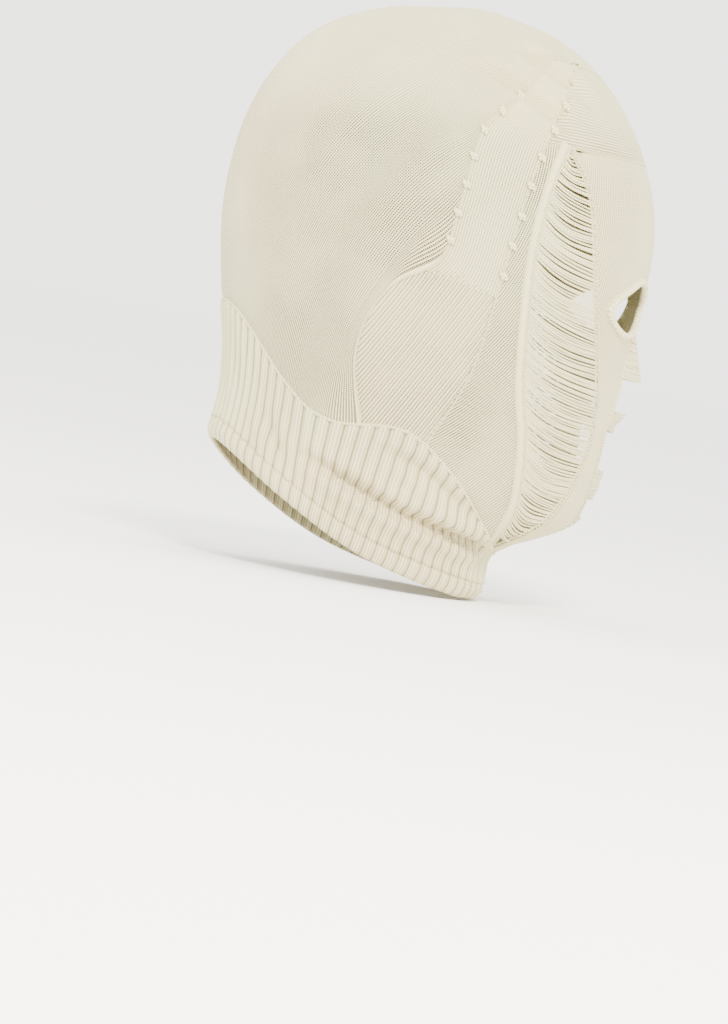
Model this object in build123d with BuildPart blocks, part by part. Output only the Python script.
"""Knitted full-face balaclava, kept in its worn shape.

Millimetres, +Z up along the wearer's head, face towards -Y, wearer's left at +X.
The origin is the middle of the head space, level with the eyes.
Every piece is cut from one thin knitted shell, and seam bands lie between the panels.
"""

import os

from build123d import *

os.makedirs("parts", exist_ok=True)

# ---- driving dimensions ----
KNIT = 1.6            # thickness of the plain knit
EDGE_PROUD = 0.5      # how far seams and edges stand out of the knit
CLEAR = 0.12          # gap kept between neighbouring pieces
SEAM_WIDTH = 2.0
CHAIN_WIDTH = 2.6     # front edge of a side ladder and the centre opening
BAND_WIDTH = 4.6      # back edge of a side ladder
EYE_RIM_WIDTH = 3.2
EYE_RIM_POINTS = 14
REACH = 130.0         # any prism this long passes out of the knit
AHEAD = -140          # y of a line well in front of the face
BEHIND = 115          # y of a line well behind the nape
FACE_PLANE = 30.0     # the front prisms start this far ahead of the middle
MIDDLE_GAP = 0.1      # half the gap between the two chains of the centre opening
CROWN_TIP = (0.0, -2.0, 118.0)
CROWN_RADII = (6, 7)
FOREHEAD_LEVEL = 62.0
SQUARENESS = 2.15     # exponent of the superellipse sections
SECTION_POINTS = 16

# Level, reach to the front, reach to the back, half width, y of the widest point
SECTIONS = [
    (-168, 50, 90, 60, 20),
    (-150, 48, 90, 58.5, 20),
    (-136, 47, 90, 58, 20),
    (-127, 53, 90, 58.5, 19),
    (-120, 68, 90, 60, 17),
    (-110, 84, 90, 62, 16),
    (-95, 92, 89.5, 65, 15),
    (-72, 95, 88, 70, 14),
    (-45, 96, 92, 75, 13),
    (-20, 97, 97, 78, 12),
    (5, 100, 101, 79.5, 12),
    (30, 99.5, 101, 79.5, 11),
    (55, 92, 97, 76.5, 9),
    (75, 81, 89, 69, 6),
    (92, 67, 77, 58, 4),
    (104, 52, 61, 46, 3),
    (113, 32, 38, 29, 1),
]

# Outlines in the side view, as (y, z); right and left are the same
LADDER_TOP = (-42, 64)
LADDER_BOTTOM = (-44, -128)
UNDER_CHIN = -140
LADDER_BACK = [LADDER_TOP, (-36, 38), (-34, 5), (-39, -43), (-47, -74), (-50, -104), LADDER_BOTTOM]
LADDER_FRONT = [LADDER_TOP, (-56, 39), (-66, 0), (-79, -50), (-79, -80), (-66, -110), LADDER_BOTTOM]
EAR_LINE = [(-29, 99), (-12, 77), (2, 60), (7, 28), (12, 0), (32, -16), (41, -46), (30, -86)]
TEMPLE_LINE = [(-42, 99), (-37, 82), (-27, 54), (-21, 20), (-17, -14), (-12, -50), (4, -90)]
STRIP_TOP = 99.0
RIB_START = [(70, -7), (10, -7), (-18, -13), (-70, -13)]
NECK_LINE = [(115, -20), (96, -31), (66, -68), (46, -80), (12, -79), (-16, -97), (-46, -127.5), (-90, -134)]
HEM_LINE = [(115, -80), (92, -95), (61, -118), (20, -139), (-30, -151), (-80, -156)]
HEM_HEIGHT = 9.0

# Outlines of the right half in the front view, as (x, z)
EYE_HOLE = [(-13, -4), (-22, 3), (-36, 4.5), (-50, -8), (-38, -17.5), (-22, -15)]
CENTRE_TOP = (0, -14)
CENTRE_BOTTOM = (0, -117)
CENTRE_SIDE = [CENTRE_TOP, (-11, -27), (-26, -54), (-28, -72), (-20, -100), CENTRE_BOTTOM]

# The yarn groups of the centre opening, each as (name, lowest level, highest level)
CENTRE_YARNS = [
    ("nose_bridge_yarns", -38, -14),
    ("upper_lip_yarns", -63, -53),
    ("lower_lip_yarns", -95, -81),
    ("chin_yarns", -118, -104),
]
LOW = -180.0          # a level under the whole hood
HIGH = 130.0          # a level over the whole hood


# ---- helpers ----
def section_points(front, back, half, middle):
    """Points of one closed superellipse section."""
    points = []
    for step in range(SECTION_POINTS):
        angle = Vector(1, 0).rotate(Axis.Z, 360 * step / SECTION_POINTS)
        across = abs(angle.Y) ** (2 / SQUARENESS) * (1 if angle.Y > 0 else -1)
        along = abs(angle.X) ** (2 / SQUARENESS)
        depth = -(front + middle) * along if angle.X > 0 else (back - middle) * along
        points.append((half * across, middle + depth))
    return points


def section(row, inset):
    """One section of the head form, made smaller by the inset all round."""
    level, front, back, half, middle = row
    with BuildSketch(Plane.XY.offset(level)) as outline:
        with BuildLine():
            Spline(*section_points(front - inset, back - inset, half - inset, middle), periodic=True)
        make_face()
    return outline.sketch


def head_form(inset):
    """The closed head form, made smaller by the inset all round."""
    with BuildPart() as form:
        for row in SECTIONS:
            add(section(row, inset))
        loft()
        add(section(SECTIONS[-1], inset))
        with BuildSketch(Plane.XY.offset(CROWN_TIP[2] - inset)):
            with Locations(CROWN_TIP[:2]):
                Ellipse(*CROWN_RADII)
        loft()
    return form.part


def curve(points):
    """A spline through the points, or a line between two."""
    return Spline(*points) if len(points) > 2 else Line(*points)


def prism(plane, edges, start, length):
    """Prism whose outline is made of edges that follow one another end to end."""
    with BuildPart() as block:
        with BuildSketch(plane.offset(start)):
            with BuildLine():
                for points in edges:
                    curve(points)
            make_face()
        extrude(amount=length)
    return block.part


def side_prism(edges):
    """Prism right through the head, outlined in the side view."""
    return prism(Plane.YZ, edges, -REACH, 2 * REACH)


def front_prism(edges):
    """Prism through the face side, outlined in the front view."""
    return prism(Plane.XZ, edges, FACE_PLANE, REACH)


def closed_by(points, *corners):
    """Edges of a zone bounded by one curve and straight lines through the corners."""
    stops = [points[-1], *corners, points[0]]
    return [points] + [[stops[i], stops[i + 1]] for i in range(len(stops) - 1)]


def past(points, level):
    """Edges of a zone between a bent line and a level beyond it."""
    corners = points + [(points[-1][0], level), (points[0][0], level), points[0]]
    return [corners[i:i + 2] for i in range(len(corners) - 1)]


def band_edges(points, width):
    """Edges of a strip that follows the points, half the width to each side."""
    with BuildLine() as route:
        curve(points)
    line = route.line
    count = 2 * len(points)
    left, right = [], []
    for step in range(count + 1):
        spot, direction = line @ (step / count), line % (step / count)
        across = Vector(-direction.Y, direction.X) * width / 2
        left.append(tuple(spot + across)[:2])
        right.insert(0, tuple(spot - across)[:2])
    return [left, [left[-1], right[0]], right, [right[-1], left[0]]]


def band_pair(points, width, maker):
    """The band itself, and the wider cut that keeps other pieces clear of it."""
    return maker(band_edges(points, width)), maker(band_edges(points, width + 2 * CLEAR))


def slab(low, high):
    """Everything between two levels."""
    with BuildPart() as block:
        with BuildSketch(Plane.XY.offset(low)):
            Rectangle(3 * REACH, 3 * REACH)
        extrude(amount=high - low)
    return block.part


def cut(source, inside=(), outside=()):
    """The part of a source that lies inside some prisms and outside others."""
    with BuildPart() as piece:
        add(source)
        for block in inside:
            add(block, mode=Mode.INTERSECT)
        for block in outside:
            add(block, mode=Mode.SUBTRACT)
    return piece.part


def save(part, name):
    part.label = name
    export_step(part, f"parts/{name}.step")


def save_pair(part, name):
    """Save the right piece, and its mirror image as the left piece."""
    with BuildPart() as twin:
        add(mirror(part, about=Plane.YZ, mode=Mode.PRIVATE))
    save(part, f"right_{name}")
    save(twin.part, f"left_{name}")


def shifted(points, along):
    return [(y + along, z) for y, z in points]


def both(block):
    """A right-half prism and its mirror image."""
    return [block, mirror(block, about=Plane.YZ)]


# ---- the knitted shell, and the slightly thicker one that seams are cut from ----
with BuildPart() as knit:
    add(head_form(0))
    add(head_form(KNIT), mode=Mode.SUBTRACT)

with BuildPart() as edging:
    add(head_form(-EDGE_PROUD))
    add(head_form(KNIT), mode=Mode.SUBTRACT)

with BuildPart() as right_half:
    with Locations((-MIDDLE_GAP, 0, 0)):
        Box(2 * REACH, 4 * REACH, 4 * REACH, align=(Align.MAX, Align.CENTER, Align.CENTER))
right = right_half.part

# ---- zones in the side view ----
ladder_zone = side_prism([LADDER_BACK, LADDER_FRONT[::-1]])
strip_zone = side_prism([EAR_LINE, [EAR_LINE[-1], TEMPLE_LINE[-1]], TEMPLE_LINE[::-1],
                         [TEMPLE_LINE[0], EAR_LINE[0]]])
above_rib_start = side_prism(past(RIB_START, HIGH))
ahead_of_temple = side_prism(closed_by(TEMPLE_LINE, (TEMPLE_LINE[-1][0], LOW), (AHEAD, LOW),
                                       (AHEAD, STRIP_TOP)))
ahead_of_ladder = side_prism(closed_by(LADDER_FRONT, (LADDER_BOTTOM[0], UNDER_CHIN),
                                       (AHEAD, UNDER_CHIN), (AHEAD, LADDER_TOP[1])))
below_forehead = slab(LOW, FOREHEAD_LEVEL)
below_neck_line = side_prism(closed_by(NECK_LINE, (AHEAD, NECK_LINE[-1][1]), (AHEAD, LOW),
                                       (BEHIND, LOW)))
hem_top = [(y, z + HEM_HEIGHT) for y, z in HEM_LINE]
hem_split = [(y, z + HEM_HEIGHT + 2 * CLEAR) for y, z in HEM_LINE]
below_hem, below_hem_top, below_hem_split = [
    side_prism(closed_by(line, (HEM_LINE[-1][0], LOW), (BEHIND, LOW)))
    for line in (HEM_LINE, hem_top, hem_split)
]
above_strip = slab(STRIP_TOP - CLEAR, HIGH)

# ---- bands between the zones ----
back_band, back_cut = band_pair(shifted(LADDER_BACK, BAND_WIDTH / 2), BAND_WIDTH, side_prism)
chain_band, chain_cut = band_pair(shifted(LADDER_FRONT, -CHAIN_WIDTH / 2), CHAIN_WIDTH, side_prism)
ear_band, ear_cut = band_pair(EAR_LINE, SEAM_WIDTH, side_prism)
temple_band, temple_cut = band_pair(TEMPLE_LINE, SEAM_WIDTH, side_prism)
neck_band, neck_cut = band_pair(NECK_LINE, SEAM_WIDTH, side_prism)
seam_low, seam_high = FOREHEAD_LEVEL - SEAM_WIDTH / 2, FOREHEAD_LEVEL + SEAM_WIDTH / 2
forehead_band = slab(seam_low, seam_high)
forehead_cut = cut(slab(seam_low - CLEAR, seam_high + CLEAR), [ahead_of_temple])
above_face = slab(seam_low - CLEAR, HIGH)

# ---- zones in the front view ----
centre_band, centre_cut = band_pair(CENTRE_SIDE, CHAIN_WIDTH, front_prism)
centre_zone = front_prism([CENTRE_SIDE, [(-x, z) for x, z in CENTRE_SIDE[::-1]]])


def grown(points, amount):
    """Points of a closed outline, moved outwards by the amount."""
    with BuildLine() as loop:
        Spline(*points, periodic=True)
    line = loop.line
    moved = []
    for step in range(EYE_RIM_POINTS):
        spot, direction = line @ (step / EYE_RIM_POINTS), line % (step / EYE_RIM_POINTS)
        outwards = Vector(direction.Y, -direction.X) * amount
        moved.append(tuple(spot + outwards)[:2])
    return moved


def eye_prism(grow):
    """Prism through the right eye hole, made larger all round."""
    with BuildPart() as block:
        with BuildSketch(Plane.XZ.offset(FACE_PLANE)):
            with BuildLine():
                Spline(*grown(EYE_HOLE, grow), periodic=True)
            make_face()
        extrude(amount=REACH)
    return block.part


eye_opening = eye_prism(0)
eye_ring = eye_prism(EYE_RIM_WIDTH)
eye_cut = eye_prism(EYE_RIM_WIDTH + CLEAR)

# ---- plain knit panels ----
front_zone = cut(ahead_of_temple, [below_forehead])
hood_panel = cut(knit.part, outside=[strip_zone, front_zone, below_neck_line, ear_cut, temple_cut,
                                     forehead_cut, neck_cut])
save(hood_panel, "hood_panel")

face_panel = cut(knit.part, [ahead_of_ladder, below_forehead],
                 [below_neck_line, above_face, back_cut, chain_cut, neck_cut, centre_zone,
                  *both(centre_cut), *both(eye_cut)])
save(face_panel, "face_panel")

cheek_panel = cut(knit.part, [front_zone, right],
                  [ahead_of_ladder, ladder_zone, below_neck_line, temple_cut, above_face, back_cut,
                   chain_cut, neck_cut])
save_pair(cheek_panel, "cheek_panel")

temple_strip = cut(knit.part, [strip_zone, above_rib_start, right],
                   [above_strip, ear_cut, temple_cut])
save_pair(temple_strip, "temple_strip")

# ---- ribbed pieces ----
below_rib_start = side_prism(past([(y, z - 2 * CLEAR) for y, z in RIB_START], LOW))
ear_rib_panel = cut(knit.part, [strip_zone, below_rib_start, right],
                    [below_neck_line, neck_cut, ear_cut, temple_cut])
save_pair(ear_rib_panel, "ear_rib_panel")

neck_rib = cut(knit.part, [below_neck_line], [below_hem_split, neck_cut])
save(neck_rib, "neck_rib")

neck_hem = cut(edging.part, [below_hem_top], [below_hem])
save(neck_hem, "neck_hem")

# ---- seams and edges, cut from the thicker shell so that they stand proud ----
neck_seam = cut(edging.part, [neck_band])
save(neck_seam, "neck_seam")

ear_seam = cut(edging.part, [ear_band, right], [above_strip, below_neck_line, neck_cut])
save_pair(ear_seam, "ear_seam")

temple_seam = cut(edging.part, [temple_band, right], [above_strip, below_neck_line, neck_cut])
save_pair(temple_seam, "temple_seam")

forehead_seam = cut(edging.part, [forehead_band, ahead_of_temple], [temple_cut])
save(forehead_seam, "forehead_seam")

ladder_back_edge = cut(edging.part, [back_band, right], [above_face, neck_cut, below_neck_line])
save_pair(ladder_back_edge, "ladder_back_edge")

ladder_front_edge = cut(edging.part, [chain_band, right],
                        [back_cut, above_face, neck_cut, below_neck_line])
save_pair(ladder_front_edge, "ladder_front_edge")

eye_edge = cut(edging.part, [eye_ring], [eye_opening])
save_pair(eye_edge, "eye_edge")

centre_edge = cut(edging.part, [centre_band, right])
save_pair(centre_edge, "centre_edge")

# ---- dropped-stitch yarns, each group as one thin sheet ----
ladder_yarns = cut(knit.part, [ladder_zone, right],
                   [back_cut, chain_cut, above_face, neck_cut, below_neck_line])
save_pair(ladder_yarns, "ladder_yarns")

for name, low, high in CENTRE_YARNS:
    save(cut(knit.part, [centre_zone, slab(low, high)], both(centre_cut)), name)
